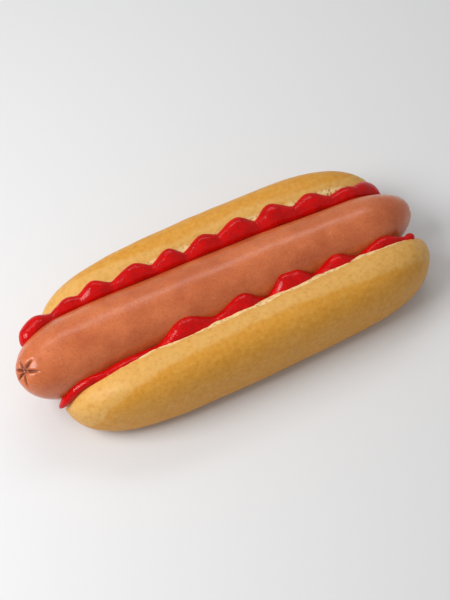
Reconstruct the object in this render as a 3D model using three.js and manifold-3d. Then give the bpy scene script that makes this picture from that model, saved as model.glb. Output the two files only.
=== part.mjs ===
// A hot dog, lying on its flat base. A soft long bun is cut open along its top, and its two halves
// stay joined by a hinge of bread underneath. A thick frankfurter lies in the cut and pokes out at
// one end, and a wavy bead of ketchup fills the corner between sausage and bread on each side.
// Units are millimetres. X runs along the sausage, -X being its puckered end, Y goes across from
// the front half to the rear half, Z is up, and the origin is the middle of the base.
import * as THREE from "three";
import { mergeVertices } from "three/addons/utils/BufferGeometryUtils.js";
import Module from "manifold-3d";

// Driving dimensions of the frankfurter.
const sausageStart = -88;
const sausageEnd = 87.6;
const sausageRadiusStart = 16.4;
const sausageRadiusEnd = 12.4;
const sausageAxisHeight = 21.9;
const sausageSideBow = 2.5;
const sausageSideLean = -0.008;
const startCapLength = 26;
const endCapLength = 25;
const startTurnedUp = 6;
const startTurnedForward = 2.5;
const endTurnedBack = 2.6;
const endTurnedDown = 1.2;
const puckerCreases = 6;
const firstCreaseAngle = 0.52;
const puckerReach = 0.62;
const puckerDepth = 1.9;
const creaseDepth = 0.85;

// Driving dimensions of the bun. A half is a long rounded lobe, and the hinge joins the two. All of
// it would reach a little below the base, where it is cut off flat.
const flattened = 0.6;
const lobeOffset = 24.5;
const lobeHalfThickness = 12.3;
const lobeHalfHeight = 16.5;
const lobeRoundnessAbove = 2.35;
const lobeRoundnessBelow = 2.8;
const noseDrop = 0.19;
const noseDrawnIn = 0.6;
const lobeInwardBow = 2.3;
const lobes = {
  front: { side: -1, start: -75.4, end: 86.3, startBluntness: 5, endBluntness: 6 },
  rear: { side: 1, start: -72.4, end: 82.2, startBluntness: 4.9, endBluntness: 4.9 },
};
const hinge = { start: -63.4, end: 73.6, halfWidth: 25, height: 15, bluntness: 5, squareness: 4 };

// Driving dimensions of the ketchup. A bead lies in the corner between sausage and bread. It climbs
// the one and reaches out over the other, and its free edge swells in waves, as it does when it is
// squeezed out in pulses. The waves are its crests and dips in turn: each is a place along X and how
// far the bead is swollen there, about 1 at a crest and -1 at a dip.
const beads = {
  ketchup_front: {
    side: -1,
    from: -78,
    to: 79.6,
    startRound: 5,
    endRound: 2.2,
    climb: 3.5,
    climbWave: 2.4,
    reach: 5.4,
    reachWave: 0.3,
    startReach: 1.2,
    endReach: 3.2,
    startClimb: 4,
    endClimb: 2.4,
    waves: [
      [-96, 1], [-79, -1], [-70, -0.1], [-58, -1.15], [-48, -1.05], [-35, -1.3],
      [-21.5, 1.6], [-9, -0.15], [4, 1.65], [14, -0.9], [22.5, 1.9], [28, 1.5], [35.5, -0.7],
      [45.5, 0.85], [55.5, -1.4], [68, 0.7], [75.6, -0.9], [78.6, 0.3], [92, -1],
    ],
    wrapsStartCap: false,
  },
  ketchup_rear: {
    side: 1,
    from: -79.6,
    to: 81.2,
    startRound: 3.6,
    endRound: 5,
    climb: 2.7,
    climbWave: 0.2,
    reach: 6.3,
    reachWave: 1.8,
    startReach: 3.6,
    endReach: 6.2,
    startClimb: 5.4,
    endClimb: 2.2,
    waves: [
      [-83, -1], [-71.3, 1.5], [-65, -1.1], [-58.5, 0.1], [-53, -0.7], [-46, 1], [-39, -0.95],
      [-28.5, 0.95], [-21.3, -0.85], [-13.2, 1.15], [-7.3, -1.1], [2.3, 1.2], [8.4, 0.05],
      [17.8, 2.1], [24.8, -0.1], [33, 2.2], [42, 0], [49.5, 1.5], [58.5, -0.7], [65, 0],
      [69.5, -0.5], [75.8, 1.8], [90, 0],
    ],
    wrapsStartCap: true,
  },
};
const beadBulge = 1.5;
const beadBulgeWave = 0.4;
const beadSunk = 0.8;
const beadHiddenDepth = 1.5;
const beadEndNarrowing = { start: 54, end: 74 };
const endSwell = 0.7;
const breadSlope = 0.38;
const beadRestAngle = { highest: 0.62, lowest: -0.42 };
const beadLevelling = 5;
const wrappedBeadAngle = 0.3;
const noseFall = { start: 66, end: 84 };

// What touches keeps this gap.
const gap = 0.3;

// How finely the surfaces are divided, and how finely places on them are looked for.
const roundSteps = 30;
const lobeStations = 30;
const hingeStations = 12;
const capRings = 7;
const bodyRings = 12;
const beadStep = 2.5;
const beadSides = 10;
const slimmest = 0.01;
const weldDistance = 0.0001;
const angleStep = 0.01;
const levellingSteps = 4;
const halfStride = 0.5;

const wasm = await Module();
wasm.setup();

// A closed surface through rings of points, with one point closing each end.
function loft(startPoint, rings, endPoint) {
  const around = rings[0].length;
  const points = [startPoint, ...rings.flat(), endPoint];
  const last = points.length - 1;
  const at = (ring, i) => 1 + ring * around + (i % around);
  const faces = [];
  for (let i = 0; i < around; i++) {
    faces.push(0, at(0, i + 1), at(0, i));
    for (let ring = 0; ring + 1 < rings.length; ring++) {
      const [a, b, c, d] = [at(ring, i), at(ring, i + 1), at(ring + 1, i + 1), at(ring + 1, i)];
      faces.push(a, b, c, a, c, d);
    }
    faces.push(last, at(rings.length - 1, i), at(rings.length - 1, i + 1));
  }
  const surface = new THREE.BufferGeometry().setFromPoints(points);
  surface.setIndex(faces);
  return surface;
}

// A closed surface as a solid that can be joined and cut.
function solidFrom(surface) {
  const bare = new THREE.BufferGeometry().setAttribute("position", surface.getAttribute("position"));
  bare.setIndex(surface.index);
  const merged = mergeVertices(bare, weldDistance);
  const mesh = new wasm.Mesh({
    numProp: 3,
    vertProperties: merged.attributes.position.array,
    triVerts: new Uint32Array(merged.index.array),
  });
  const solid = new wasm.Manifold(mesh);
  return solid.volume() < 0 ? solidFrom(turnedInsideOut(merged)) : solid;
}

function turnedInsideOut(surface) {
  const turned = surface.clone();
  turned.setIndex(Array.from(surface.index.array).reverse());
  return turned;
}

// A solid as the geometry of a mesh.
function surfaceFrom(solid) {
  const mesh = solid.getMesh();
  const surface = new THREE.BufferGeometry();
  surface.setAttribute("position", new THREE.BufferAttribute(mesh.vertProperties, 3));
  surface.setIndex(new THREE.BufferAttribute(mesh.triVerts, 1));
  const flat = surface.toNonIndexed();
  flat.computeVertexNormals();
  return flat;
}

// A superellipse's point at an angle: power 2 is an ellipse, and more is squarer.
function squarish(angle, power) {
  const [c, s] = [Math.cos(angle), Math.sin(angle)];
  return [Math.sign(c) * Math.abs(c) ** (2 / power), Math.sign(s) * Math.abs(s) ** (2 / power)];
}

// How full a long rounded shape is at a share of its length, from -1 to 1. It is never quite empty.
function fullnessAt(share, bluntness) {
  return Math.max(Math.sqrt(1 - Math.abs(share) ** bluntness), slimmest);
}

// Stations from -1 to 1, closer together towards both ends.
function stations(count) {
  return Array.from({ length: count }, (_, i) => -Math.cos((Math.PI * (i + 0.5)) / count));
}

// The frankfurter's radius, and how far its middle stands to the rear, at a place along it. It is
// bowed a little and lies a little askew.
function sausageRadius(x) {
  const share = (x - sausageStart) / (sausageEnd - sausageStart);
  return THREE.MathUtils.lerp(sausageRadiusStart, sausageRadiusEnd, share);
}

function sausageAxisY(x) {
  const share = (2 * x - sausageStart - sausageEnd) / (sausageEnd - sausageStart);
  return sausageSideBow * (0.5 - share * share) + sausageSideLean * x;
}

// The tied end of a frankfurter draws in to a dimple, with creases that run out from it.
function puckered(radiusShare, angle) {
  const near = Math.max(0, 1 - radiusShare / puckerReach);
  const crease = 0.5 + 0.5 * Math.cos(puckerCreases * (angle - firstCreaseAngle));
  return puckerDepth * near * near + creaseDepth * crease * 4 * near * (1 - near);
}

// The frankfurter, from its start cap to its end cap, grown by an allowance all over.
function sausageSurface(grown, withPucker) {
  const profile = [];
  const startCentre = sausageStart + startCapLength;
  const endCentre = sausageEnd - endCapLength;
  for (let i = 1; i <= capRings; i++) {
    const a = (Math.PI / 2) * (i / capRings);
    const x = startCentre - (startCapLength + grown) * Math.cos(a);
    profile.push({ x, share: Math.sin(a), end: -1 });
  }
  for (let i = 1; i < bodyRings; i++) {
    const x = THREE.MathUtils.lerp(startCentre, endCentre, i / bodyRings);
    profile.push({ x, share: 1, end: 0 });
  }
  for (let i = capRings; i >= 1; i--) {
    const a = (Math.PI / 2) * (i / capRings);
    const x = endCentre + (endCapLength + grown) * Math.cos(a);
    profile.push({ x, share: Math.sin(a), end: 1 });
  }
  const rings = profile.map(({ x, share, end }) => {
    const middle = capMiddle(x, end, share);
    return Array.from({ length: roundSteps }, (_, i) => {
      const angle = (2 * Math.PI * i) / roundSteps;
      const radius = (sausageRadius(x) + grown) * share;
      const inward = withPucker && end ? puckered(share, angle) : 0;
      return new THREE.Vector3(
        x - end * inward,
        middle.y + radius * Math.cos(angle),
        middle.z + radius * Math.sin(angle),
      );
    });
  });
  const dimple = withPucker ? puckerDepth : 0;
  return loft(
    capMiddle(sausageStart - grown + dimple, -1, 0),
    rings,
    capMiddle(sausageEnd + grown - dimple, 1, 0),
  );
}

// The middle of a ring of the frankfurter. Both caps turn a little aside towards their tips, the more
// the smaller the ring's share of the full radius is.
function capMiddle(x, end, share) {
  const turn = 1 - share * share;
  const [aside, up] = end < 0 ? [-startTurnedForward, startTurnedUp] : [endTurnedBack, -endTurnedDown];
  return new THREE.Vector3(x, sausageAxisY(x) + aside * turn, sausageAxisHeight + up * turn);
}

// The section of one half of the bun at a share of its length, from -1 to 1.
function lobeSection(lobe, share) {
  const fullness = fullnessAt(share, share < 0 ? lobe.startBluntness : lobe.endBluntness);
  const drawnIn = lobeInwardBow * share * share + noseDrawnIn * lobeHalfThickness * (1 - fullness);
  return {
    fullness,
    y: lobe.side * (lobeOffset - drawnIn),
    z: (lobeHalfHeight - flattened) * (1 - noseDrop + noseDrop * fullness),
  };
}

function lobeSurface(lobe, grown) {
  const middle = (lobe.start + lobe.end) / 2;
  const reach = (lobe.end - lobe.start) / 2 + grown;
  const rings = stations(lobeStations).map((share) => {
    const { fullness, y, z } = lobeSection(lobe, share);
    return Array.from({ length: roundSteps }, (_, i) => {
      const angle = (2 * Math.PI * (i + 0.5)) / roundSteps;
      const [across, up] = squarish(angle, angle < Math.PI ? lobeRoundnessAbove : lobeRoundnessBelow);
      return new THREE.Vector3(
        middle + reach * share,
        y + (lobeHalfThickness * fullness + grown) * across,
        Math.max(z + (lobeHalfHeight * fullness + grown) * up, -grown),
      );
    });
  });
  const tip = lobeSection(lobe, 1);
  return loft(
    new THREE.Vector3(middle - reach, tip.y, tip.z),
    rings,
    new THREE.Vector3(middle + reach, tip.y, tip.z),
  );
}

// The bread that joins the two halves under the sausage.
function hingeSurface(grown) {
  const middle = (hinge.start + hinge.end) / 2;
  const reach = (hinge.end - hinge.start) / 2 + grown;
  const halfHeight = (hinge.height + flattened) / 2;
  const height = halfHeight - flattened;
  const rings = stations(hingeStations).map((share) => {
    const fullness = fullnessAt(share, hinge.bluntness);
    return Array.from({ length: roundSteps }, (_, i) => {
      const [across, up] = squarish((2 * Math.PI * (i + 0.5)) / roundSteps, hinge.squareness);
      return new THREE.Vector3(
        middle + reach * share,
        (hinge.halfWidth * fullness + grown) * across,
        Math.max(height + (halfHeight * fullness + grown) * up, -grown),
      );
    });
  });
  return loft(
    new THREE.Vector3(middle - reach, 0, height),
    rings,
    new THREE.Vector3(middle + reach, 0, height),
  );
}

function wholeBun(grown) {
  return solidFrom(lobeSurface(lobes.front, grown))
    .add(solidFrom(lobeSurface(lobes.rear, grown)))
    .add(solidFrom(hingeSurface(grown)));
}

// How high round the sausage the bread touches it, as an angle above its side.
function touchAngle(lobe, x) {
  const share = (2 * x - lobe.start - lobe.end) / (lobe.end - lobe.start);
  if (Math.abs(share) >= 1) return beadRestAngle.lowest;
  const { fullness, y, z } = lobeSection(lobe, share);
  const inBread = (angle) => {
    const across = sausageAxisY(x) + lobe.side * sausageRadius(x) * Math.cos(angle) - y;
    const up = sausageAxisHeight + sausageRadius(x) * Math.sin(angle) - z;
    return (
      Math.abs(across / (lobeHalfThickness * fullness)) ** lobeRoundnessAbove +
        Math.abs(up / (lobeHalfHeight * fullness)) ** lobeRoundnessAbove < 1
    );
  };
  let angle = beadRestAngle.highest;
  while (angle > beadRestAngle.lowest && !inBread(angle)) angle -= angleStep;
  return angle;
}

// The same, levelled over a short length, so that the bead runs on smoothly past the bun's nose.
function restAngle(lobe, x) {
  let sum = 0;
  for (let step = -levellingSteps; step <= levellingSteps; step++) {
    sum += touchAngle(lobe, x + (beadLevelling * step) / levellingSteps);
  }
  return sum / (2 * levellingSteps + 1);
}

// A point on the sausage's side, and the way out from it, at a distance along the bead. A bead that
// wraps the start cap follows its curve and keeps up on the side, until it sinks where the bread's
// other nose falls away. Any other runs on straight.
function besideSausage(bead, along) {
  const lobe = bead.side < 0 ? lobes.front : lobes.rear;
  const capStart = sausageStart + startCapLength;
  const radius = sausageRadius(along);
  let [x, share, outX, outR] = [along, 1, 0, 1];
  if (bead.wrapsStartCap && along < capStart) {
    const turn = (capStart - along) / ((startCapLength + radius) / 2);
    x = capStart - startCapLength * Math.sin(turn);
    share = Math.cos(turn);
    const outward = new THREE.Vector2(-Math.sin(turn) / startCapLength, Math.cos(turn) / radius);
    [outX, outR] = outward.normalize().toArray();
  }
  const sunk = bead.wrapsStartCap ? THREE.MathUtils.smoothstep(along, noseFall.start, noseFall.end) : 1;
  const lowest = THREE.MathUtils.lerp(wrappedBeadAngle, beadRestAngle.lowest, sunk);
  const angle = Math.max(restAngle(lobe, x), lowest);
  const [c, s] = [bead.side * Math.cos(angle), Math.sin(angle)];
  const middle = capMiddle(x, along < 0 ? -1 : 1, share);
  return {
    point: middle.add(new THREE.Vector3(0, radius * share * c, radius * share * s)),
    out: new THREE.Vector3(outX, outR * c, outR * s),
  };
}

// A bead's section, as distances out from the sausage and up its side, from the corner where it lies.
// It is a cushion that bulges over the line between its edge on the sausage and its edge on the bread.
function beadSection(climb, reach, bulge, radius) {
  const onSausage = new THREE.Vector2((-climb * climb) / (2 * radius), climb);
  const onBread = new THREE.Vector2(Math.cos(breadSlope), Math.sin(breadSlope)).multiplyScalar(reach);
  const across = onBread.clone().sub(onSausage).divideScalar(2);
  const outward = new THREE.Vector2(-across.y, across.x).normalize();
  const middle = onSausage.clone().add(across).addScaledVector(outward, -beadSunk);
  across.divideScalar(Math.sqrt(1 - (beadSunk / (beadSunk + bulge)) ** 2));
  const depth = middle.dot(outward) + beadHiddenDepth;
  return Array.from({ length: beadSides }, (_, k) => {
    const angle = (2 * Math.PI * (k + 0.5)) / beadSides;
    const [c, s] = [Math.cos(angle), Math.sin(angle)];
    const height = s * (s > 0 ? beadSunk + bulge : depth);
    return middle.clone().addScaledVector(across, c).addScaledVector(outward, height);
  });
}

// How far a bead is swollen at a place, through broad crests and narrow dips.
function swelling(waves, along) {
  const next = waves.findIndex(([place]) => place > along);
  const [[before, swellBefore], [after, swellAfter]] = [waves[next - 1], waves[next]];
  const [crest, dip] = [Math.max(swellBefore, swellAfter), Math.min(swellBefore, swellAfter)];
  const fromCrest = swellBefore > swellAfter ? along - before : after - along;
  const turn = (Math.PI * fromCrest) / (after - before);
  const eased = (Math.cos(turn) + 2 * Math.cos(turn / 2) + 1) / 4;
  return THREE.MathUtils.lerp(dip, crest, eased);
}

// One bead of ketchup, as it would be with nothing beside it.
function beadSurface(bead) {
  const count = Math.round((bead.to - bead.from) / beadStep);
  const rings = [];
  for (let i = 0; i <= count; i++) {
    const along = THREE.MathUtils.lerp(bead.from, bead.to, (i + 0.5) / (count + 1));
    const { point, out } = besideSausage(bead, along);
    const ahead = besideSausage(bead, along + halfStride).point;
    const behind = besideSausage(bead, along - halfStride).point;
    const forward = ahead.sub(behind).normalize();
    const upward = new THREE.Vector3().crossVectors(out, forward).multiplyScalar(-bead.side).normalize();
    const { start, end } = beadEndNarrowing;
    const nearEnd = THREE.MathUtils.smoothstep(Math.abs(along), start, end);
    const wave = swelling(bead.waves, along) * THREE.MathUtils.lerp(1, endSwell, nearEnd);
    const [endReach, endClimb] =
      along < 0 ? [bead.startReach, bead.startClimb] : [bead.endReach, bead.endClimb];
    const reach = THREE.MathUtils.lerp(bead.reach, endReach, nearEnd) + bead.reachWave * wave;
    const climb = THREE.MathUtils.lerp(bead.climb, endClimb, nearEnd) + bead.climbWave * wave;
    const bulge = beadBulge + beadBulgeWave * wave;
    const fromStart = (along - bead.from) / bead.startRound;
    const fromEnd = (bead.to - along) / bead.endRound;
    const round = Math.sqrt(1 - (1 - Math.min(fromStart, fromEnd, 1)) ** 2);
    rings.push(
      beadSection(climb, reach, bulge, sausageRadius(along)).map((place) =>
        point
          .clone()
          .addScaledVector(out, round * place.x)
          .addScaledVector(upward, round * place.y),
      ),
    );
  }
  return loft(besideSausage(bead, bead.from).point, rings, besideSausage(bead, bead.to).point);
}

// What is left of a solid without the crumbs that a cut splits off it.
function largestPiece(solid) {
  return solid.decompose().sort((a, b) => b.volume() - a.volume())[0];
}

const sausageRoom = solidFrom(sausageSurface(gap, false));
const bunRoom = wholeBun(gap);

const crust = new THREE.MeshStandardMaterial({ color: 0xcd954c, roughness: 0.62, metalness: 0 });
const skin = new THREE.MeshStandardMaterial({ color: 0xc56e44, roughness: 0.38, metalness: 0 });
const sauce = new THREE.MeshStandardMaterial({ color: 0xc00404, roughness: 0.2, metalness: 0 });

function piece(name, surface, material) {
  const mesh = new THREE.Mesh(surface, material);
  mesh.name = name;
  return mesh;
}

const hotDog = new THREE.Group();
hotDog.add(piece("bun", surfaceFrom(wholeBun(0).subtract(sausageRoom)), crust));
hotDog.add(piece("sausage", surfaceFrom(solidFrom(sausageSurface(0, true))), skin));
for (const [name, bead] of Object.entries(beads)) {
  const whole = solidFrom(beadSurface(bead));
  const fitted = largestPiece(whole.subtract(sausageRoom).subtract(bunRoom));
  hotDog.add(piece(name, surfaceFrom(fitted), sauce));
}

export default hotDog;
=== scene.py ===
# %% [markdown]
# # A hot dog, finished in Blender
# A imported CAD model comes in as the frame: a bun, a sausage and two beads of ketchup, as plain
# solids in the right places. This script gives each its real skin. Everything is made from the
# same few sizes that the CAD solids have, so that what is seen lies where the solids say.

# %% Start from the frame
import math

import bmesh
import bpy
import numpy as np
from mathutils import Matrix, Vector, noise


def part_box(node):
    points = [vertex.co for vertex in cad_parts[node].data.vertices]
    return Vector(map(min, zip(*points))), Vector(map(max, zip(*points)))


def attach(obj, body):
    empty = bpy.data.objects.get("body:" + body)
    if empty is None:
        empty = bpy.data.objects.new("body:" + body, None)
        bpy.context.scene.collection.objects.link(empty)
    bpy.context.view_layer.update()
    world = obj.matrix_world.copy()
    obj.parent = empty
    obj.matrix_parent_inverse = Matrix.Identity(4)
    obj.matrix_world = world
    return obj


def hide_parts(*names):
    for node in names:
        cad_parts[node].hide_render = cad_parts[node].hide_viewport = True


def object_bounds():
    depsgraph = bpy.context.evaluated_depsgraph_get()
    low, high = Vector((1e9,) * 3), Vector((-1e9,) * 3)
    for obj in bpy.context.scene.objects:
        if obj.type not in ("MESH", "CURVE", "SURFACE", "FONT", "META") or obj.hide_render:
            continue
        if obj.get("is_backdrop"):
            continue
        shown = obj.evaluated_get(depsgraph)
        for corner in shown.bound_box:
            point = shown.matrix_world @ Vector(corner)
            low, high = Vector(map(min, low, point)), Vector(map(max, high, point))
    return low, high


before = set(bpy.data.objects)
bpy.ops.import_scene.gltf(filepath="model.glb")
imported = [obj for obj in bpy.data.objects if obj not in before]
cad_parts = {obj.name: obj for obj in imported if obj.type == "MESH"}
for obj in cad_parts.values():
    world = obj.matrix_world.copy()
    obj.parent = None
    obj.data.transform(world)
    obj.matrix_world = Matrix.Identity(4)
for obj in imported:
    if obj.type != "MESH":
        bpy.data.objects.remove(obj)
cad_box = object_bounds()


def in_mm(corner):
    return [round(1000 * float(value), 1) for value in corner]


for name in sorted(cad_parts):
    low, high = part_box(name)
    print(name, "reaches from", in_mm(low), "to", in_mm(high), "mm")

# %% [markdown]
# The food is easiest to think of in millimetres, while Blender works in metres. So the shapes are
# worked out as arrays of points in millimetres, and only the last step, which makes a mesh of them,
# turns them into metres. Rings of points along an axis, closed by a point at each end, are enough
# for everything here, because sausages, buns and squeezed sauce are all long round things.

# %% From rings of points to a mesh
MM = 0.001


def tube_mesh(name, start, rings, end):
    """A closed mesh through rings of points in millimetres, with one point at each end."""
    count, around, _ = rings.shape
    points = np.concatenate([[start], rings.reshape(-1, 3), [end]]) * MM
    ring = 1 + np.arange(around)
    after = np.roll(ring, -1)
    faces = [(0, b, a) for a, b in zip(ring, after)]
    for i in range(count - 1):
        low, high = i * around, (i + 1) * around
        faces += zip(ring + low, after + low, after + high, ring + high)
    last_point, last_ring = len(points) - 1, (count - 1) * around
    faces += [(last_point, a + last_ring, b + last_ring) for a, b in zip(ring, after)]
    mesh = bpy.data.meshes.new(name)
    mesh.from_pydata(points.tolist(), [], [tuple(int(point) for point in face) for face in faces])
    turn_outward(mesh)
    mesh.shade_smooth()
    return mesh


def turn_outward(mesh):
    """Turns all faces over if they look inward."""
    work = bmesh.new()
    work.from_mesh(mesh)
    if work.calc_volume(signed=True) < 0:
        bmesh.ops.reverse_faces(work, faces=work.faces)
    work.to_mesh(mesh)
    work.free()


def add_piece(name, mesh):
    piece = bpy.data.objects.new(name, mesh)
    bpy.context.scene.collection.objects.link(piece)
    return piece


# %% [markdown]
# A mesh that exists can still be changed point by point. Reading and writing all its points in one
# go, as one long list of numbers, is many times faster than a loop over them.

# %% Reading and moving a mesh's points
def points_of(mesh):
    """The mesh's points in millimetres."""
    flat = np.empty(3 * len(mesh.vertices))
    mesh.vertices.foreach_get("co", flat)
    return flat.reshape(-1, 3) / MM


def normals_of(mesh):
    flat = np.empty(3 * len(mesh.vertices))
    mesh.vertex_normals.foreach_get("vector", flat)
    return flat.reshape(-1, 3)


def move_points(mesh, points):
    mesh.vertices.foreach_set("co", (points * MM).ravel())
    mesh.update()


def give_amounts(mesh, name, amounts):
    """Keeps one number for each point, which a material can read by its name."""
    layer = mesh.attributes.new(name, "FLOAT", "POINT")
    layer.data.foreach_set("value", np.asarray(amounts, dtype=np.float32))


# %% [markdown]
# Food is never quite even. Blender's own noise gives each point a number that changes smoothly from
# place to place. The size says how far apart its hills are, and moving the place that is asked for
# gives another pattern, so that nothing here needs a random draw. Real surfaces have big slow hills
# and small quick ones at the same time, so a few layers of noise are laid over each other.

# %% Unevenness from noise
def unevenness(points, size, shift=0.0, stretch=(1, 1, 1)):
    """Smooth noise from about -1 to 1, with hills about as wide as size in millimetres."""
    places = points / (size * np.array(stretch)) + shift
    return np.array([noise.noise(place) for place in places.tolist()])


def layered(points, *layers):
    """Layers of noise laid over each other, each with its height, its size and its shift."""
    return sum(height * unevenness(points, size, shift) for height, size, shift in layers)


def smooth_step(low, high, values):
    t = np.clip((values - low) / (high - low), 0, 1)
    return t * t * (3 - 2 * t)


def blend(first, second, amount):
    return first + (second - first) * amount


# %% [markdown]
# The camera comes first, because everything is judged through it. It looks down from the front
# left, from about half a metre away, with a long lens. It is turned a little about its own axis, so
# the hot dog rises to the right in the picture. Its place could be typed in, but two angles and a
# distance from the food are easier to think about and to correct.

# %% Camera
FRAME_HEIGHT_PIXELS, FOCAL_PIXELS = 600, 1396.2
AZIMUTH, ELEVATION, ROLL = math.radians(-24.96), math.radians(57.66), math.radians(2.6)
DISTANCE = 0.56113
TARGET = Vector((0.00068, -0.00201, 0.017))

forward = Vector((math.sin(AZIMUTH), -math.cos(AZIMUTH), 0))
back = math.cos(ELEVATION) * forward + Vector((0, 0, math.sin(ELEVATION)))
level = Vector((math.cos(AZIMUTH), math.sin(AZIMUTH), 0))
upright = back.cross(level)
right = math.cos(ROLL) * level - math.sin(ROLL) * upright
up = math.sin(ROLL) * level + math.cos(ROLL) * upright

camera_data = bpy.data.cameras.new("camera")
camera_data.lens = camera_data.sensor_width * FOCAL_PIXELS / FRAME_HEIGHT_PIXELS
camera = bpy.data.objects.new("camera", camera_data)
bpy.context.scene.collection.objects.link(camera)
facing = Matrix((right, up, back)).transposed().to_4x4()
camera.matrix_world = Matrix.Translation(TARGET + DISTANCE * back) @ facing
bpy.context.scene.camera = camera
print("camera lens", round(camera_data.lens, 1), "mm at", [round(v, 3) for v in camera.location])

# %% [markdown]
# The sausage is a frankfurter: a long cylinder that tapers, bows a little and lies a little askew,
# with rounded caps that turn aside. It could be a stretched sphere with sculpted ends, but rings of
# points let the creases be put exactly where they are wanted. The rings stand closer together near
# the ends, where the shape is finer.

# %% The sausage's sizes
NEAR, FAR = -1, 1
SAUSAGE_START, SAUSAGE_END = -88.0, 87.6
RADIUS_START, RADIUS_END = 16.4, 12.4
AXIS_HEIGHT = 21.9
SIDE_BOW, SIDE_LEAN = 2.5, -0.008
CAP_LENGTH = {NEAR: 26.0, FAR: 25.0}
TURN_ASIDE = {NEAR: (-2.5, 6.0), FAR: (2.6, -1.2)}


def sausage_radius(x):
    return blend(RADIUS_START, RADIUS_END, (x - SAUSAGE_START) / (SAUSAGE_END - SAUSAGE_START))


def sausage_axis_y(x):
    share = (2 * x - SAUSAGE_START - SAUSAGE_END) / (SAUSAGE_END - SAUSAGE_START)
    return SIDE_BOW * (0.5 - share * share) + SIDE_LEAN * x


def ring_middle(x, end, share):
    """The middle of a ring whose size is a share of the body's. The caps turn aside."""
    aside, rise = TURN_ASIDE[end]
    turned = 1 - share * share
    return sausage_axis_y(x) + aside * turned, AXIS_HEIGHT + rise * turned


# %% Rings of the sausage
def sausage_rings(around, cap_count, body_count):
    """Rings of points round the sausage, and its two tips."""
    near_cap, far_cap = CAP_LENGTH[NEAR], CAP_LENGTH[FAR]
    body_start, body_end = SAUSAGE_START + near_cap, SAUSAGE_END - far_cap
    turns = math.pi / 2 * np.arange(1, cap_count + 1) / cap_count
    body = np.linspace(body_start, body_end, body_count + 1)[1:-1]
    stations = [(body_start - near_cap * math.cos(a), math.sin(a), NEAR) for a in turns]
    stations += [(x, 1.0, NEAR if x < 0 else FAR) for x in body]
    stations += [(body_end + far_cap * math.cos(a), math.sin(a), FAR) for a in turns[::-1]]
    angles = 2 * math.pi * np.arange(around) / around
    across, upward = np.cos(angles), np.sin(angles)
    rings = []
    for x, share, end in stations:
        y, z = ring_middle(x, end, share)
        radius = sausage_radius(x) * share
        rings.append(np.stack([np.full(around, x), y + radius * across, z + radius * upward], -1))
    near_tip = (SAUSAGE_START, *ring_middle(SAUSAGE_START, NEAR, 0))
    far_tip = (SAUSAGE_END, *ring_middle(SAUSAGE_END, FAR, 0))
    return near_tip, np.array(rings), far_tip


sausage_mesh = tube_mesh("sausage skin", *sausage_rings(around=184, cap_count=84, body_count=110))
sausage = add_piece("sausage_skin", sausage_mesh)
print("sausage:", len(sausage_mesh.polygons), "faces")

# %% [markdown]
# A crease is a narrow valley that starts at the knot where the skin is tied off, is deepest just
# outside it and fades away some millimetres further on. Between the creases the skin stands up in
# soft folds. A bump in the material could draw them, but they also show in the outline and throw
# small shadows, so the mesh itself is pushed in.

# %% One crease
CREASE_WIDTH, CREASE_FLARE = 0.3, 0.45
CREASE_BEGINS = (0.2, 1.4)
QUARTER_TURN = 1.5


def crease_depth(out, turn, place, length):
    """How deep in one crease each point lies, from 0 to 1, by its way out and its turn."""
    turned = (turn - place + math.pi) % (2 * math.pi) - math.pi
    across = out * np.abs(np.sin(np.clip(turned, -QUARTER_TURN, QUARTER_TURN)))
    width = CREASE_WIDTH + CREASE_FLARE * np.clip(1 - out / length, 0, 1)
    fade = smooth_step(*CREASE_BEGINS, out) * (1 - smooth_step(length / 2, length, out))
    return fade * np.exp(-(across / width) ** 2)


# %% [markdown]
# No two creases have quite the same length, depth or spacing. The near knot sits a little above the
# sausage's tip, so each point near it is measured on the flat plane that touches the skin there.
# The far end is tied less tightly, so its creases are fainter.

# %% The tied ends
DIMPLE_REACH, DIMPLE_DEPTH = 7.5, 1.3
CREASE_DEPTH, FOLD_HEIGHT = 0.95, 0.35
KNOT_RADIUS = 0.9
BEHIND_PLANE, OUT_OF_REACH = 9.0, 99.0
TIED_ENDS = {
    "near": {
        "middle": (-85.1, -3.8, 32.9), "outward": (-0.78, -0.12, 0.615), "strength": 1.0,
        "turns": (42, 97, 164, 218, 270, 321), "lengths": (7.4, 6.6, 6.0, 7.0, 6.4, 7.2),
    },
    "far": {
        "middle": (87.6, 0.7, 20.7), "outward": (1, 0, 0), "strength": 0.55,
        "turns": (20, 85, 138, 205, 262, 318), "lengths": (6.4, 5.2, 6.0, 5.4, 6.2, 5.0),
    },
}


def tie_end(points, tied):
    """Points with the skin drawn in round a tied end, and how deep in a crease each lies."""
    outward = np.array(tied["outward"]) / np.linalg.norm(tied["outward"])
    upward = np.array([0, 0, 1.0]) - outward * outward[2]
    upward /= np.linalg.norm(upward)
    aside = np.cross(upward, outward)
    offset = points - np.array(tied["middle"])
    out = np.hypot(offset @ aside, offset @ upward)
    turn = np.arctan2(offset @ upward, offset @ aside)
    out = np.where(offset @ outward > -BEHIND_PLANE, out, OUT_OF_REACH)
    crease = np.exp(-(out / KNOT_RADIUS) ** 2)
    for place, length in zip(np.radians(tied["turns"]), tied["lengths"]):
        crease = np.maximum(crease, crease_depth(out, turn, place, length))
    near = np.clip(1 - out / DIMPLE_REACH, 0, 1)
    folds = FOLD_HEIGHT * 4 * near * (1 - near) * (1 - crease)
    drawn_in = DIMPLE_DEPTH * near ** 2 + CREASE_DEPTH * crease - folds
    return points - outward * (tied["strength"] * drawn_in)[:, None], tied["strength"] * crease


points, in_crease = points_of(sausage_mesh), 0
for tied in TIED_ENDS.values():
    points, crease = tie_end(points, tied)
    in_crease = np.maximum(in_crease, crease)
move_points(sausage_mesh, points)
give_amounts(sausage_mesh, "crease", in_crease)
print("points in creases:", int((in_crease > 0.5).sum()))

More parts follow.
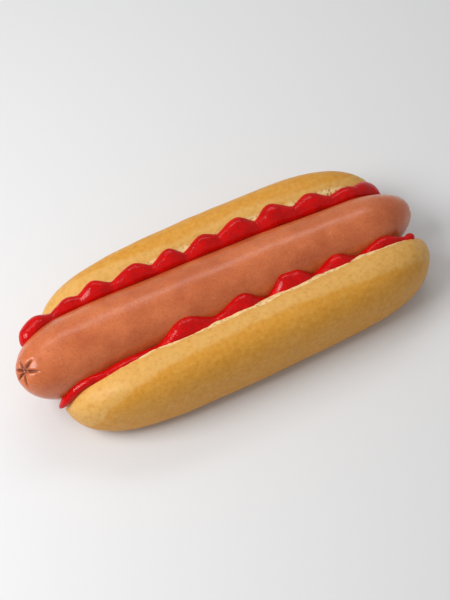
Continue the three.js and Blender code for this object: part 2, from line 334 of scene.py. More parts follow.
# %% [markdown]
# Under a real frankfurter's skin the meat swells and sinks a little. A bump in the material would
# leave the outline perfect, so the points themselves move along their normals, by slow hills,
# smaller ones and a fine grain, each a fraction of a millimetre high.

# %% The sausage's unevenness
points, normals = points_of(sausage_mesh), normals_of(sausage_mesh)
swell = layered(points, (0.28, 22, 0.0), (0.09, 6, 5.0), (0.025, 1.6, 9.0))
move_points(sausage_mesh, points + normals * swell[:, None])
print("the skin swells by up to", round(float(swell.max()), 2), "mm")

# %% [markdown]
# The bun is one piece of bread with two long lobes and a hinge under the sausage. On a real bun the
# lobes are soft superellipses in section: rounder than boxes, fuller than ovals. They could be cut
# from one loaf shape with booleans alone, but joining rounded forms and remeshing them into even
# small faces gives the soft meeting lines of dough, and faces fine enough to carry pores.

# %% The bun's sizes
LOBE_OFFSET, HALF_THICKNESS, HALF_HEIGHT = 24.5, 12.3, 16.5
ROUNDNESS_ABOVE, ROUNDNESS_BELOW = 2.35, 2.8
NOSE_DROP, NOSE_DRAWN_IN, INWARD_BOW = 0.19, 0.6, 2.3
FLATTENED = 0.6
SLIMMEST = 0.01
LOBES = {
    "front": {"side": -1, "start": -75.4, "end": 86.3, "bluntness": (5.0, 6.0)},
    "rear": {"side": 1, "start": -72.4, "end": 82.2, "bluntness": (4.9, 4.9)},
}
HINGE = {
    "start": -63.4, "end": 73.6, "half_width": 25.0, "height": 15.0,
    "bluntness": 5.0, "squareness": 4.0,
}

# %% [markdown]
# Each form's length is counted in shares from -1 at its start to 1 at its end, so that a long lobe
# and a short one follow the same rules. At both noses the section shrinks, sinks and draws in.

# %% Sections of the bun
def middle_and_reach(form):
    """The middle of a long form and half of its length."""
    return (form["start"] + form["end"]) / 2, (form["end"] - form["start"]) / 2


def shares_of_length(count):
    """Shares from -1 to 1 that stand closer together near both ends."""
    return -np.cos(math.pi * (np.arange(count) + 0.5) / count)


def angles_around(count):
    return 2 * math.pi * (np.arange(count) + 0.5) / count


def fullness(share, bluntness):
    """How full a long rounded shape is at a share of its length, from -1 to 1."""
    return np.maximum(np.sqrt(np.clip(1 - np.abs(share) ** bluntness, 0, None)), SLIMMEST)


def squarish(angles, power):
    """Points round a superellipse: power 2 is an ellipse, and more is squarer."""
    c, s = np.cos(angles), np.sin(angles)
    return np.sign(c) * np.abs(c) ** (2 / power), np.sign(s) * np.abs(s) ** (2 / power)


def lobe_section(lobe, share):
    """How full the lobe is there, and its section's middle."""
    full = fullness(share, np.where(share < 0, *lobe["bluntness"]))
    drawn_in = INWARD_BOW * share ** 2 + NOSE_DRAWN_IN * HALF_THICKNESS * (1 - full)
    y = lobe["side"] * (LOBE_OFFSET - drawn_in)
    z = (HALF_HEIGHT - FLATTENED) * (1 - NOSE_DROP + NOSE_DROP * full)
    return full, y, z


# %% Lobes and hinge as meshes
def lobe_mesh(lobe, stations, around):
    middle, reach = middle_and_reach(lobe)
    angles = angles_around(around)
    above, below = squarish(angles, ROUNDNESS_ABOVE), squarish(angles, ROUNDNESS_BELOW)
    across = np.where(angles < math.pi, above[0], below[0])
    upward = np.where(angles < math.pi, above[1], below[1])
    rings = []
    for share in shares_of_length(stations):
        full, y, z = lobe_section(lobe, share)
        x, out = np.full(around, middle + reach * share), y + HALF_THICKNESS * full * across
        rings.append(np.stack([x, out, np.maximum(z + HALF_HEIGHT * full * upward, 0)], -1))
    _, y, z = lobe_section(lobe, np.array(1.0))
    return tube_mesh("lobe", [lobe["start"], y, z], np.array(rings), [lobe["end"], y, z])


def hinge_mesh(stations, around):
    middle, reach = middle_and_reach(HINGE)
    half_height = (HINGE["height"] + FLATTENED) / 2
    z = half_height - FLATTENED
    across, upward = squarish(angles_around(around), HINGE["squareness"])
    rings = []
    for share in shares_of_length(stations):
        full = fullness(share, HINGE["bluntness"])
        x, out = np.full(around, middle + reach * share), HINGE["half_width"] * full * across
        rings.append(np.stack([x, out, np.maximum(z + half_height * full * upward, 0)], -1))
    return tube_mesh("hinge", [HINGE["start"], 0, z], np.array(rings), [HINGE["end"], 0, z])


front_lobe = add_piece("front_lobe", lobe_mesh(LOBES["front"], 150, 120))
rear_lobe = add_piece("rear_lobe", lobe_mesh(LOBES["rear"], 150, 120))
hinge = add_piece("hinge", hinge_mesh(60, 96))
room_mesh = tube_mesh("room", *sausage_rings(around=120, cap_count=24, body_count=60))
room = add_piece("sausage_room", room_mesh)
print("four forms to join and cut:", front_lobe.name, rear_lobe.name, hinge.name, room.name)

# %% [markdown]
# Three modifiers join the lobes and the hinge and cut the sausage's room out of them. Then a voxel
# remesh lays even faces about two thirds of a millimetre wide over the whole. A little smoothing
# rounds what the cut left sharp, as a soft bun's edges are. The result is kept as a plain mesh.

# %% One bun
VOXEL = 0.68


def add_boolean(piece, other, operation):
    cut = piece.modifiers.new(operation.lower(), "BOOLEAN")
    cut.operation, cut.object, cut.solver = operation, other, "EXACT"


def applied(piece, name):
    """A new mesh as the piece's modifiers make it."""
    evaluated = piece.evaluated_get(bpy.context.evaluated_depsgraph_get())
    mesh = bpy.data.meshes.new_from_object(evaluated)
    mesh.name = name
    return mesh


add_boolean(front_lobe, rear_lobe, "UNION")
add_boolean(front_lobe, hinge, "UNION")
add_boolean(front_lobe, room, "DIFFERENCE")
remesh = front_lobe.modifiers.new("even faces", "REMESH")
remesh.mode, remesh.voxel_size, remesh.use_smooth_shade = "VOXEL", VOXEL * MM, True
soften = front_lobe.modifiers.new("soften", "SMOOTH")
soften.factor, soften.iterations = 0.5, 6
bun_mesh = applied(front_lobe, "bread")
for helper in (front_lobe, rear_lobe, hinge, room):
    bpy.data.objects.remove(helper)
bun = add_piece("bun_bread", bun_mesh)
bun_mesh.shade_smooth()
print("bun:", len(bun_mesh.polygons), "faces")

# %% [markdown]
# The bun's flank is darker and its crown paler. That is partly the oven's brown crust, and partly
# painted shade on the flank and painted light on the crown, and the knife lays bare a pale cut
# face. Painting that by hand would have to be done again after each change of shape. Here each
# point of the bun is asked where it lies instead. The turn round its lobe goes from 0 at the outer
# side over 90 degrees at the crown to 180 on the inner side. A short list for each half says at
# which turn the darker tone ends, for shares of its length, and the paler tone, painted light, runs
# down round both noses.

# %% Where the brown tone with its painted shade ends and the cut begins
CUT_TURN = {"front": 117.0, "rear": 112.0}
BROWN_AND_SHADE_LINES = {
    "front": (
        (-1, -60), (-0.9, 0), (-0.84, 37), (-0.7, 61), (-0.5, 75), (-0.1, 85),
        (0.2, 84), (0.5, 72), (0.77, 60), (0.9, 48), (1, -20),
    ),
    "rear": (
        (-1, -60), (-0.9, 22), (-0.84, 45), (-0.7, 69), (-0.45, 84), (-0.2, 98), (0, 92),
        (0.2, 87), (0.5, 98), (0.77, 97), (0.84, 90), (0.92, 60), (1, -20),
    ),
}
NOSE_SHARE = 0.995


def turn_round_lobe(lobe, points):
    """The turn round the lobe in degrees, and the share of its length, at each point."""
    middle, reach = middle_and_reach(lobe)
    share = np.clip((points[:, 0] - middle) / reach, -NOSE_SHARE, NOSE_SHARE)
    full, y, z = lobe_section(lobe, share)
    across = lobe["side"] * (points[:, 1] - y) / (HALF_THICKNESS * full)
    upward = (points[:, 2] - z) / (HALF_HEIGHT * full)
    return np.degrees(np.arctan2(upward, across)), share


def out_of_sausage(points):
    """How far each point is from the sausage's side."""
    x = np.clip(points[:, 0], SAUSAGE_START, SAUSAGE_END)
    from_axis = np.hypot(points[:, 1] - sausage_axis_y(x), points[:, 2] - AXIS_HEIGHT)
    return from_axis - sausage_radius(x)


# %% [markdown]
# Neither border is a ruled line on real bread. So each is a few degrees wide, and noise makes it
# wander by a few more. Whatever lies against the sausage is a cut face too, apart from the base.

# %% Where each point of the bun lies
BROWN_SHADE_SOFTNESS, BROWN_SHADE_WANDER = 4.5, 2.2
CUT_SOFTNESS, CUT_WANDER = 2.5, 5.0
BESIDE_SAUSAGE = (0.8, 1.6)
BASE_HEIGHT = 1.5

points = points_of(bun_mesh)
browned_and_shaded, cut = np.zeros(len(points)), np.zeros(len(points))
wander = layered(points, (1.0, 9, 3.0), (0.5, 3.5, 7.0))
# The darker tone is brown crust with painted shade on the flank, and the paler one is painted light
# on the crown and noses.
for name, lobe in LOBES.items():
    mine = points[:, 1] * lobe["side"] > 0
    turn, share = turn_round_lobe(lobe, points[mine])
    past_line = turn - np.interp(share, *zip(*BROWN_AND_SHADE_LINES[name])) + BROWN_SHADE_WANDER * wander[mine]
    browned_and_shaded[mine] = 1 - smooth_step(-BROWN_SHADE_SOFTNESS, BROWN_SHADE_SOFTNESS, past_line)
    past_cut = turn - CUT_TURN[name] + CUT_WANDER * wander[mine]
    cut[mine] = np.where(turn > -90, smooth_step(-CUT_SOFTNESS, CUT_SOFTNESS, past_cut), 0)
beside = 1 - smooth_step(*BESIDE_SAUSAGE, out_of_sausage(points))
cut = np.where(points[:, 2] > BASE_HEIGHT, np.maximum(cut, beside), 0)
print("cut faces:", round(100 * float(cut.mean())), "% of the bread's points")

# %% [markdown]
# The crumb is softer and lower than the crust and full of pores. The pores come from cell noise:
# its cells' middles are pushed in. The crust gets only a slow swelling and faint wrinkles, and a
# low rim where the knife turned its edge up. Near the table all of this fades, so that the bun
# stays flat where it rests.

# %% Crumb and crust in relief
CRUMB_SUNK, PORE_DEPTH, PORE_SIZE, PORE_WIDTH = 0.3, 0.5, 4.2, 0.55
RIM_HEIGHT, RIM_PLACE, RIM_WIDTH = 0.22, 0.15, 0.15
WRINKLE_HEIGHT, WRINKLE_SIZE, WRINKLE_STRETCH = 0.07, 3.2, (2.6, 1, 1)
RELIEF_RISES = (0.2, 2.5)


def pores(points, size, shift):
    """Near 1 in the middle of a pore and 0 between pores."""
    places = points / size + shift
    nearest = np.array([noise.voronoi(place)[0][0] for place in places.tolist()])
    return np.clip(1 - nearest / PORE_WIDTH, 0, 1)


normals = normals_of(bun_mesh)
open_crumb = cut > 0.01
inside = points[open_crumb]
crumb_relief = np.zeros(len(points))
crumb_relief[open_crumb] = (
    layered(inside, (0.22, 3.8, 6.0)) - CRUMB_SUNK - PORE_DEPTH * pores(inside, PORE_SIZE, 4.0) ** 2
)
wrinkles = WRINKLE_HEIGHT * unevenness(points, WRINKLE_SIZE, 11.0, WRINKLE_STRETCH)
rim = RIM_HEIGHT * np.exp(-((cut - RIM_PLACE) / RIM_WIDTH) ** 2) * (cut > 0.001)
relief = layered(points, (0.38, 26, 1.0), (0.12, 8, 2.0))
relief += cut * crumb_relief + (1 - cut) * wrinkles + rim
relief *= smooth_step(*RELIEF_RISES, points[:, 2])
settled = points + normals * relief[:, None]
settled[:, 2] = np.maximum(settled[:, 2], 0)
move_points(bun_mesh, settled)
# Kept for the bread: the darker tone, brown crust with painted shade, and the cut face.
give_amounts(bun_mesh, "browned_and_shaded", browned_and_shaded)
give_amounts(bun_mesh, "cut", cut)
print("relief from", round(float(relief.min()), 2), "to", round(float(relief.max()), 2), "mm")

# %% [markdown]
# The ketchup lies in the corner between sausage and bread. Its bead climbs the sausage on one side
# and reaches over the bread on the other. It could be poured as a liquid in a simulation, but then
# its edges could not be placed. So the corner is found instead: the angle up the sausage's side
# where the bread meets it. It is levelled over a short length, because sauce doesn't follow each
# small bend.

# %% Where bread and sausage meet
HIGHEST, LOWEST, ANGLE_STEP = 0.62, -0.42, 0.01
LEVELLING, STEP_ALONG = 5.0, 0.25
ALONG = np.arange(-110, 110 + STEP_ALONG / 2, STEP_ALONG)


def corner_angles(lobe):
    """The angle up the sausage's side where the bread meets it, for each place of ALONG."""
    tries = np.arange(HIGHEST, LOWEST, -ANGLE_STEP)
    middle, reach = middle_and_reach(lobe)
    found = []
    for x in ALONG:
        share = (x - middle) / reach
        angle = LOWEST
        if abs(share) < 1:
            full, y, z = lobe_section(lobe, np.array(share))
            across = sausage_axis_y(x) + lobe["side"] * sausage_radius(x) * np.cos(tries) - y
            upward = AXIS_HEIGHT + sausage_radius(x) * np.sin(tries) - z
            size = np.abs(across / (HALF_THICKNESS * full)) ** ROUNDNESS_ABOVE
            size += np.abs(upward / (HALF_HEIGHT * full)) ** ROUNDNESS_ABOVE
            hits = np.nonzero(size < 1)[0]
            if len(hits):
                angle = tries[hits[0]]
        found.append(angle)
    width = int(2 * LEVELLING / STEP_ALONG) + 1
    padded = np.pad(found, width // 2, mode="edge")
    return np.convolve(padded, np.ones(width) / width, mode="valid")


corners = {name: corner_angles(lobe) for name, lobe in LOBES.items()}
for name, angles in corners.items():
    print("the", name, "corner lies up to", round(math.degrees(angles.max())), "degrees up")

# %% [markdown]
# Each bead has a size in its middle and at both ends: how far it climbs the sausage and how far it
# reaches over the bread. A pair gives the size and how much a wave adds to it. A bottle gives
# ketchup in pulses, so the bead swells in waves. The waves are places along the bead, each with how
# far it is swollen there: about 1 at a crest and -1 at a dip. No two real waves are alike, so they
# are listed one by one and no formula makes them.

# %% The beads' sizes
BEADS = {
    "ketchup_front": {
        "lobe": "front", "from": -78.0, "to": 79.6, "climb": (3.5, 2.4), "reach": (5.4, 0.3),
        "start": (4.0, 1.2), "end": (2.4, 3.2), "rounding": (5.0, 2.2), "wraps": False,
        "waves": (
            (-96, 1), (-79, -1), (-70, -0.1), (-58, -1.15), (-48, -1.05), (-35, -1.3),
            (-21.5, 1.6), (-9, -0.15), (4, 1.65), (14, -0.9), (22.5, 1.9), (28, 1.5),
            (35.5, -0.7), (45.5, 0.85), (55.5, -1.4), (68, 0.7), (75.6, -0.9), (78.6, 0.3),
            (92, -1),
        ),
    },
    "ketchup_rear": {
        "lobe": "rear", "from": -79.6, "to": 81.2, "climb": (2.7, 0.2), "reach": (6.3, 1.8),
        "start": (5.4, 3.6), "end": (2.2, 6.2), "rounding": (3.6, 5.0), "wraps": True,
        "waves": (
            (-83, -1), (-71.3, 1.5), (-65, -1.1), (-58.5, 0.1), (-53, -0.7), (-46, 1.0),
            (-39, -0.95), (-28.5, 0.95), (-21.3, -0.85), (-13.2, 1.15), (-7.3, -1.1),
            (2.3, 1.2), (8.4, 0.05), (17.8, 2.1), (24.8, -0.1), (33, 2.2), (42, 0),
            (49.5, 1.5), (58.5, -0.7), (65, 0), (69.5, -0.5), (75.8, 1.8), (90, 0),
        ),
    },
}
for name, bead in BEADS.items():
    print(name, "is", round(bead["to"] - bead["from"]), "mm long with", len(bead["waves"]), "turns")

# %% [markdown]
# Between a crest and a dip the swelling follows a curve, broad at the crest and narrow at the dip,
# as in squeezed sauce. Straight lines would give sharp teeth, and a plain sine would give dips as
# broad as the crests. Towards both ends the bead goes over to its sizes there, and its last few
# millimetres are rounded off.

# %% Waves along a bead
BULGE, BULGE_WAVE = 1.5, 0.4
NARROWING = (54.0, 74.0)
END_SWELL = 0.7


def swelling(waves, along):
    """How far the bead is swollen there, through broad crests and narrow dips."""
    after = next(i for i, (place, _) in enumerate(waves) if place > along)
    (place, crest), (next_place, dip) = waves[after - 1], waves[after]
    t = (along - place) / (next_place - place)
    if crest < dip:
        t, crest, dip = 1 - t, dip, crest
    eased = (math.cos(math.pi * t) + 2 * math.cos(math.pi * t / 2) + 1) / 4
    return blend(dip, crest, eased)


def bead_size(bead, along):
    """How far the bead climbs, reaches and bulges there, and how full its rounded end is."""
    near_end = float(smooth_step(*NARROWING, abs(along)))
    wave = swelling(bead["waves"], along) * blend(1, END_SWELL, near_end)
    end_climb, end_reach = bead["start"] if along < 0 else bead["end"]
    climb = blend(bead["climb"][0], end_climb, near_end) + bead["climb"][1] * wave
    reach = blend(bead["reach"][0], end_reach, near_end) + bead["reach"][1] * wave
    from_start = (along - bead["from"]) / bead["rounding"][0]
    from_end = (bead["to"] - along) / bead["rounding"][1]
    full = math.sqrt(1 - (1 - min(from_start, from_end, 1)) ** 2)
    return climb, reach, BULGE + BULGE_WAVE * wave, full


# %% [markdown]
# A bead follows its corner along the sausage's side. The rear one runs out past the bun and wraps
# the sausage's near cap. It was given enough sauce to stay on top of its corner, so it is held at a
# least angle up the side, and sinks only where the bread's far nose falls away. It changes over
# between the corner's angle and that one smoothly, because a kink would show as a dark line.

# %% A place on the sausage's side
HELD_ANGLE, NOSE_FALL = 0.3, (66.0, 84.0)
EASING = 0.06


def bead_angle(bead, x, along):
    """The angle up the sausage's side at which the bead lies."""
    sunk = float(smooth_step(*NOSE_FALL, along)) if bead["wraps"] else 1
    lowest = blend(HELD_ANGLE, LOWEST, sunk)
    met = float(np.interp(x, ALONG, corners[bead["lobe"]]))
    return (met + lowest + math.hypot(met - lowest, EASING)) / 2


def beside_sausage(bead, along):
    """A point on the sausage's side, and the way out from it."""
    cap_length = CAP_LENGTH[NEAR]
    cap_start = SAUSAGE_START + cap_length
    radius = sausage_radius(along)
    x, share, out_x, out_r = along, 1.0, 0.0, 1.0
    if bead["wraps"] and along < cap_start:
        turned = (cap_start - along) / ((cap_length + radius) / 2)
        x, share = cap_start - cap_length * math.sin(turned), math.cos(turned)
        way = (-math.sin(turned) / cap_length, math.cos(turned) / radius)
        out_x, out_r = Vector(way).normalized()
    angle = bead_angle(bead, x, along)
    c, s = LOBES[bead["lobe"]]["side"] * math.cos(angle), math.sin(angle)
    y, z = ring_middle(x, NEAR if along < 0 else FAR, share)
    point = Vector((x, y + radius * share * c, z + radius * share * s))
    return point, Vector((out_x, out_r * c, out_r * s))


for name, bead in BEADS.items():
    start, _ = beside_sausage(bead, bead["from"])
    print(name, "starts beside the sausage at", [round(value, 1) for value in start], "mm")

# %% [markdown]
# In section a bead is a cushion over the line between its two edges, and its underside is hidden
# in the corner. A curve with a round bevel would be quicker to draw, but it would be as thick as it
# is wide. Two sizes of noise keep the finished bead from looking turned on a lathe.

# %% A bead's section and its rings
SUNK, HIDDEN_DEPTH = 0.8, 1.5
BREAD_SLOPE = 0.38
LOOK_AHEAD = 0.5


def bead_section(climb, reach, bulge, radius, sides):
    """Distances out from the sausage and up its side, for each point round the bead."""
    on_sausage = np.array([-climb * climb / (2 * radius), climb])
    on_bread = reach * np.array([math.cos(BREAD_SLOPE), math.sin(BREAD_SLOPE)])
    across = (on_bread - on_sausage) / 2
    outward = np.array([-across[1], across[0]]) / np.hypot(*across)
    middle = on_sausage + across - SUNK * outward
    across = across / math.sqrt(1 - (SUNK / (SUNK + bulge)) ** 2)
    depth = middle @ outward + HIDDEN_DEPTH
    angles = angles_around(sides)
    height = np.sin(angles) * np.where(np.sin(angles) > 0, SUNK + bulge, depth)
    return middle + np.cos(angles)[:, None] * across + height[:, None] * outward


def bead_ring(bead, along, sides):
    """The ring of points round the bead at one place."""
    point, out = beside_sausage(bead, along)
    ahead, _ = beside_sausage(bead, along + LOOK_AHEAD)
    behind, _ = beside_sausage(bead, along - LOOK_AHEAD)
    side = LOBES[bead["lobe"]]["side"]
    upward = (-side * out.cross(ahead - behind)).normalized()
    climb, reach, bulge, full = bead_size(bead, along)
    section = full * bead_section(climb, reach, bulge, sausage_radius(along), sides)
    return np.array(point) + section[:, :1] * np.array(out) + section[:, 1:] * np.array(upward)


def bead_mesh(name, bead, count, sides):
    shares = (np.arange(count) + 0.5) / count
    rings = [bead_ring(bead, blend(bead["from"], bead["to"], share), sides) for share in shares]
    start, end = (list(beside_sausage(bead, bead[tip])[0]) for tip in ("from", "to"))
    return tube_mesh(name, start, np.array(rings), end)


# %% The two beads
ketchup = {}
for name, bead in BEADS.items():
    mesh = bead_mesh(name, bead, count=560, sides=40)
    points, normals = points_of(mesh), normals_of(mesh)
    ripple = layered(points, (0.22, 7, 2.0), (0.08, 2.6, 6.0))
    move_points(mesh, points + normals * ripple[:, None])
    ketchup[name] = add_piece(name + "_bead", mesh)
    print(name, "has", len(mesh.polygons), "faces")

# %% [markdown]
# Colours are easiest to pick as the numbers that a picture shows. A shader wants them as amounts of
# light, so one small helper turns the one into the other. A finish is a material whose nodes are
# added one after another, and everything it paints is tied to the piece's own coordinates.

# %% A finish and its colours
def seen(red, green, blue):
    """A colour as a picture shows it, from 0 to 255, as the amounts of light in it."""
    def light(value):
        value /= 255
        return value / 12.92 if value <= 0.04045 else ((value + 0.055) / 1.055) ** 2.4
    return light(red), light(green), light(blue), 1.0


class Finish:
    """A material and its nodes."""

    def __init__(self, name):
        self.material = bpy.data.materials.new(name)
        self.material.use_nodes = True
        self.tree = self.material.node_tree
        self.shader = self.tree.nodes["Principled BSDF"]
        self.place = self.add("ShaderNodeTexCoord").outputs["Object"]

    def add(self, kind):
        return self.tree.nodes.new(kind)

    def join(self, source, target):
        self.tree.links.new(source, target)

    def wear(self, name, source):
        """Lets a pattern drive one of the shader's sockets."""
        self.join(source, self.shader.inputs[name])

    def set(self, **values):
        for name, value in values.items():
            self.shader.inputs[name.replace("_", " ")].default_value = value


# %% [markdown]
# Three sources tell a finish where it is: soft patches of noise, cells for pores, and the amounts
# that were kept on the mesh's points. Pictures laid over the food could do the same, but they would
# need seams and would blur close up.

# %% Patterns
def patches(finish, size, detail=2.0, roughness=0.5, stretch=None):
    """Noise from 0 to 1 with patches about as wide as size in millimetres."""
    node = finish.add("ShaderNodeTexNoise")
    node.inputs["Scale"].default_value = 1 / (size * MM)
    node.inputs["Detail"].default_value = detail
    node.inputs["Roughness"].default_value = roughness
    place = finish.place
    if stretch:
        mapping = finish.add("ShaderNodeMapping")
        mapping.inputs["Scale"].default_value = stretch
        finish.join(place, mapping.inputs["Vector"])
        place = mapping.outputs["Vector"]
    finish.join(place, node.inputs["Vector"])
    return node.outputs["Fac"]


def cells(finish, size):
    """The distance from the middle of the nearest cell."""
    node = finish.add("ShaderNodeTexVoronoi")
    node.inputs["Scale"].default_value = 1 / (size * MM)
    finish.join(finish.place, node.inputs["Vector"])
    return node.outputs["Distance"]


def kept_amount(finish, name):
    node = finish.add("ShaderNodeAttribute")
    node.attribute_name = name
    return node.outputs["Fac"]


# %% Working with patterns
def spread(finish, value, low, high, new_low=0.0, new_high=1.0):
    """Stretches a value from one range to another and stops it at the ends."""
    node = finish.add("ShaderNodeMapRange")
    finish.join(value, node.inputs["Value"])
    names = ("From Min", "From Max", "To Min", "To Max")
    for name, number in zip(names, (low, high, new_low, new_high)):
        node.inputs[name].default_value = number
    return node.outputs["Result"]


def give(finish, value, socket):
    """Joins another node's output to a socket, or sets a plain value on it."""
    if isinstance(value, bpy.types.NodeSocket):
        finish.join(value, socket)
    else:
        socket.default_value = value


def work(finish, operation, first, second):
    node = finish.add("ShaderNodeMath")
    node.operation = operation
    for value, socket in zip((first, second), node.inputs):
        give(finish, value, socket)
    return node.outputs["Value"]


def mixed(finish, first, second, amount):
    """A colour between two colours."""
    node = finish.add("ShaderNodeMix")
    node.data_type = "RGBA"
    finish.join(amount, node.inputs["Factor"])
    colours = [socket for socket in node.inputs if socket.type == "RGBA"]
    for value, socket in zip((first, second), colours):
        give(finish, value, socket)
    return next(socket for socket in node.outputs if socket.type == "RGBA")


def bumped(finish, height, distance, before=None):
    """Relief too fine for the mesh, distance millimetres high."""
    node = finish.add("ShaderNodeBump")
    node.inputs["Distance"].default_value = distance * MM
    finish.join(height, node.inputs["Height"])
    if before:
        finish.join(before, node.inputs["Normal"])
    return node.outputs["Normal"]


# %% [markdown]
# A bun's crust is satin and goes from pale tan to golden brown. The golden brown carries painted
# shade on the flank as well as the crust's own colour, and the pale tan carries painted light on
# the crown and noses. One flat brown would look like plastic, so it is mottled in three sizes of
# noise: broad mottling, blotches and fine speckles.

# %% The crust's colour, with painted light and shade
# The pale crust is painted light on the crown and noses; the golden crust is brown crust with
# painted shade on the flank.
PALE_LIT_CRUST, GOLDEN_SHADED_CRUST = seen(216, 165, 86), seen(211, 147, 48)
BROWN_BLOTCH, PALE_BLOTCH = seen(184, 118, 30), seen(226, 180, 96)
SPECKLE = seen(150, 90, 24)

bread = Finish("bread")
mottle = patches(bread, 6, detail=5, roughness=0.65)
blotch = patches(bread, 1.9, detail=3, roughness=0.6)
speckle = patches(bread, 0.8, detail=3, roughness=0.6)
mottling = spread(bread, mottle, 0.3, 0.7, -0.22, 0.22)
browning_and_shade = work(bread, "ADD", kept_amount(bread, "browned_and_shaded"), mottling)
# Painted light and shade over the crust: paler on the crown and noses, golden brown on the flank.
crust = mixed(bread, PALE_LIT_CRUST, GOLDEN_SHADED_CRUST, spread(bread, browning_and_shade, -0.1, 1.1))
crust = mixed(bread, crust, BROWN_BLOTCH, spread(bread, blotch, 0.5, 0.75, 0, 0.45))
crust = mixed(bread, crust, PALE_BLOTCH, spread(bread, blotch, 0.48, 0.25, 0, 0.35))
crust = mixed(bread, crust, SPECKLE, spread(bread, speckle, 0.56, 0.8, 0, 0.32))
print("the crust's colour takes", len(bread.tree.nodes), "nodes")

# %% [markdown]
# The crumb is cream and quite matt, and its small hollows are painted a little darker, as painted
# shade.
# The amount that was kept as "cut" changes the one colour over to the other, and makes the crumb
# rougher.

# %% The crumb's colour, and how both shine
PORE_SHADE, CRUMB = seen(206, 160, 92), seen(238, 206, 146)

hollow = spread(bread, cells(bread, 1.7), 0.16, 0.42)
cut_amount = kept_amount(bread, "cut")
# Painted shade: the crumb is darker in the middle of each cell, as in the shade of a pore.
crumb = mixed(bread, PORE_SHADE, CRUMB, hollow)
bread.wear("Base Color", mixed(bread, crust, crumb, cut_amount))
satin = spread(bread, mottle, 0.3, 0.7, 0.36, 0.5)
bread.wear("Roughness", work(bread, "ADD", satin, work(bread, "MULTIPLY", cut_amount, 0.42)))

# %% [markdown]
# The finest relief is a bump, which costs no faces: grain, dimples and long wrinkles all over, and
# small pores in the crumb. Bread scatters light in its skin, so it gets a little subsurface light.

# %% The bread's fine relief
fine = bumped(bread, patches(bread, 0.5, detail=3, roughness=0.6), 0.06)
dimpled = bumped(bread, patches(bread, 1.7, detail=3, roughness=0.55), 0.14, before=fine)
long_wrinkles = patches(bread, 2.4, detail=4, stretch=(0.35, 1, 1))
wrinkled = bumped(bread, long_wrinkles, 0.22, before=dimpled)
small_pores = spread(bread, cells(bread, 0.7), 0.1, 0.5, 0, 0.35)
pored = work(bread, "MULTIPLY", work(bread, "ADD", hollow, small_pores), cut_amount)
bread.wear("Normal", bumped(bread, pored, 0.28, before=wrinkled))
bread.set(
    Subsurface_Weight=0.12, Subsurface_Radius=(1.0, 0.5, 0.2), Subsurface_Scale=0.003,
    IOR=1.42, Specular_IOR_Level=0.38,
)
print("the whole bread takes", len(bread.tree.nodes), "nodes")

# %% [markdown]
# A frankfurter's skin is thin, moist and tight. Under a clear gloss the meat shows as a fine grain,
# with slightly browner and slightly pinker patches, and the creases get painted shade. The moisture
# is a coat over the skin, because a real wet film is smoother than what lies under it.

# %% Sausage skin
BROWN_MEAT, PINK_MEAT = seen(184, 90, 44), seen(206, 112, 62)
DARK_GRAIN, PALE_GRAIN = seen(146, 60, 28), seen(222, 142, 92)
CREASE_SHADE_COLOUR = seen(78, 28, 14)

skin = Finish("sausage skin")
meat = patches(skin, 14, detail=4, roughness=0.6)
grain = patches(skin, 0.8, detail=3, roughness=0.65)
pale_grain = patches(skin, 1.3, detail=2)
flesh = mixed(skin, BROWN_MEAT, PINK_MEAT, spread(skin, meat, 0.35, 0.65))
flesh = mixed(skin, flesh, DARK_GRAIN, spread(skin, grain, 0.5, 0.78, 0, 0.55))
flesh = mixed(skin, flesh, PALE_GRAIN, spread(skin, pale_grain, 0.38, 0.2, 0, 0.4))
# Painted shade: the skin is painted darker down in the creases at the tied ends.
crease_shade = spread(skin, kept_amount(skin, "crease"), 0.15, 1, 0, 0.9)
skin.wear("Base Color", mixed(skin, flesh, CREASE_SHADE_COLOUR, crease_shade))
skin.wear("Roughness", spread(skin, patches(skin, 4, detail=3), 0.3, 0.7, 0.3, 0.42))
tight = bumped(skin, patches(skin, 0.7, detail=3, roughness=0.6), 0.04)
drawn_out = patches(skin, 2, detail=3, stretch=(0.25, 1, 1))
skin.wear("Normal", bumped(skin, drawn_out, 0.16, before=tight))
skin.set(
    Subsurface_Weight=0.1, Subsurface_Radius=(1.0, 0.35, 0.2), Subsurface_Scale=0.003,
    Coat_Weight=0.45, Coat_Roughness=0.22, IOR=1.42,
)
print("the sausage's skin takes", len(skin.tree.nodes), "nodes")

# %% [markdown]
# Ketchup is wet and smooth, deep red and a little translucent at its thin edges. It could have a
# clear coat too, but the wet surface is the sauce's own, so low roughness is enough. The fine pulp
# in it only just breaks up the highlights.

# %% Ketchup
DEEP_RED, BRIGHT_RED, PULP_RED = seen(180, 0, 0), seen(202, 1, 0), seen(140, 0, 0)

sauce = Finish("ketchup")
cloudy = patches(sauce, 4, detail=3)
pulp = patches(sauce, 0.9, detail=2)
red = mixed(sauce, DEEP_RED, BRIGHT_RED, spread(sauce, cloudy, 0.35, 0.65))
red = mixed(sauce, red, PULP_RED, spread(sauce, pulp, 0.55, 0.75, 0, 0.6))
sauce.wear("Base Color", red)
sauce.wear("Roughness", spread(sauce, patches(sauce, 2.5), 0.3, 0.7, 0.1, 0.2))
lumpy = bumped(sauce, patches(sauce, 1.1, detail=3, roughness=0.6), 0.09)
sauce.wear("Normal", bumped(sauce, patches(sauce, 3, detail=2), 0.2, before=lumpy))
sauce.set(
    Subsurface_Weight=0.1, Subsurface_Radius=(1.0, 0.05, 0.03), Subsurface_Scale=0.002,
    IOR=1.36, Specular_IOR_Level=0.42,
)
print("the ketchup takes", len(sauce.tree.nodes), "nodes")

# %% Each piece wears its finish
worn = [(bun, bread), (sausage, skin)] + [(bead, sauce) for bead in ketchup.values()]
for piece, finish in worn:
    piece.data.materials.clear()
    piece.data.materials.append(finish.material)
    print(piece.name, "wears", finish.material.name)

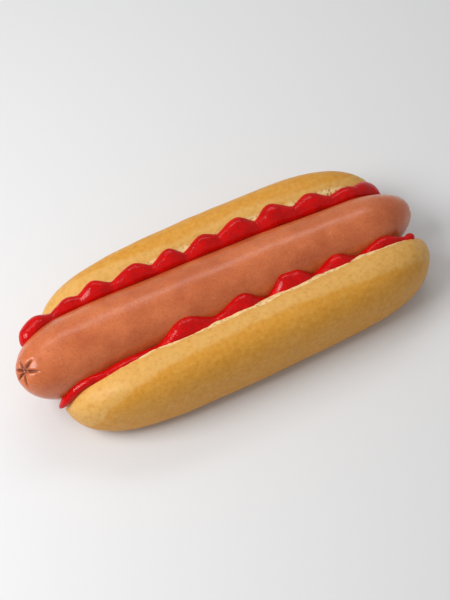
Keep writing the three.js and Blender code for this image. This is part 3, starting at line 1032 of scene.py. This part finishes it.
# %% [markdown]
# The hot dog lies on a plain pale floor. One big soft lamp hangs on the left, near enough that the
# floor grows a little darker to the right. A long narrow one behind draws a soft streak along the
# sausage and small lights on the wet ketchup, and a pale world fills the shadows.

# %% Floor
FLOOR_REACH = 3.0
CORNER_WAYS = ((-1, -1), (1, -1), (1, 1), (-1, 1))

floor_mesh = bpy.data.meshes.new("floor")
floor_corners = [(x * FLOOR_REACH, y * FLOOR_REACH, 0) for x, y in CORNER_WAYS]
floor_mesh.from_pydata(floor_corners, [], [(0, 1, 2, 3)])
floor = add_piece("floor", floor_mesh)
plain = Finish("pale floor")
plain.set(Base_Color=(0.74, 0.74, 0.745, 1), Roughness=0.9)
floor_mesh.materials.append(plain.material)
print("the floor is", 2 * FLOOR_REACH, "m wide")

# %% Lamps and world
def add_lamp(name, place, width, depth, power):
    """A flat lamp at a place in metres, which faces the hot dog."""
    lamp_data = bpy.data.lights.new(name, "AREA")
    lamp_data.shape, lamp_data.energy = "RECTANGLE", power
    lamp_data.size, lamp_data.size_y = width, depth
    lamp = bpy.data.objects.new(name, lamp_data)
    bpy.context.scene.collection.objects.link(lamp)
    lamp.location = place
    lamp.rotation_euler = Vector(place).to_track_quat("Z", "Y").to_euler()
    print(name, "hangs", round(Vector(place).length, 2), "m from the hot dog")


add_lamp("soft lamp", (-0.36, 0.03, 0.42), 0.3, 0.3, 2.35)
add_lamp("strip lamp", (0.1, 0.32, 0.5), 0.5, 0.14, 0.6)
world = bpy.data.worlds.new("studio")
world.use_nodes = True
background = world.node_tree.nodes["Background"]
background.inputs["Color"].default_value = (1, 1, 1, 1)
background.inputs["Strength"].default_value = 0.42
bpy.context.scene.world = world
bpy.context.scene.view_settings.view_transform = "Standard"

# %% [markdown]
# Last, each piece is tied to the frame, so that it moves with it, and the CAD solid that it stands
# for is hidden.

# %% Tie the pieces to the frame
for piece, node, slot in (
    (bun, "bun", "bread"),
    (sausage, "sausage", "sausage_skin"),
    (ketchup["ketchup_front"], "ketchup_front", "ketchup"),
    (ketchup["ketchup_rear"], "ketchup_rear", "ketchup"),
):
    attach(piece, "root")
    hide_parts(node)
floor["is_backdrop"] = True

# %% [markdown]
# The two boxes, of the solids and of what is seen, are written down side by side. They should
# differ by a millimetre or two at most, or a skin has left its solid.

# %% Measure and finish
boxes = {"cad": cad_box, "visual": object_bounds()}
for name, (low, high) in boxes.items():
    print("the", name, "model reaches from", in_mm(low), "to", in_mm(high), "mm")
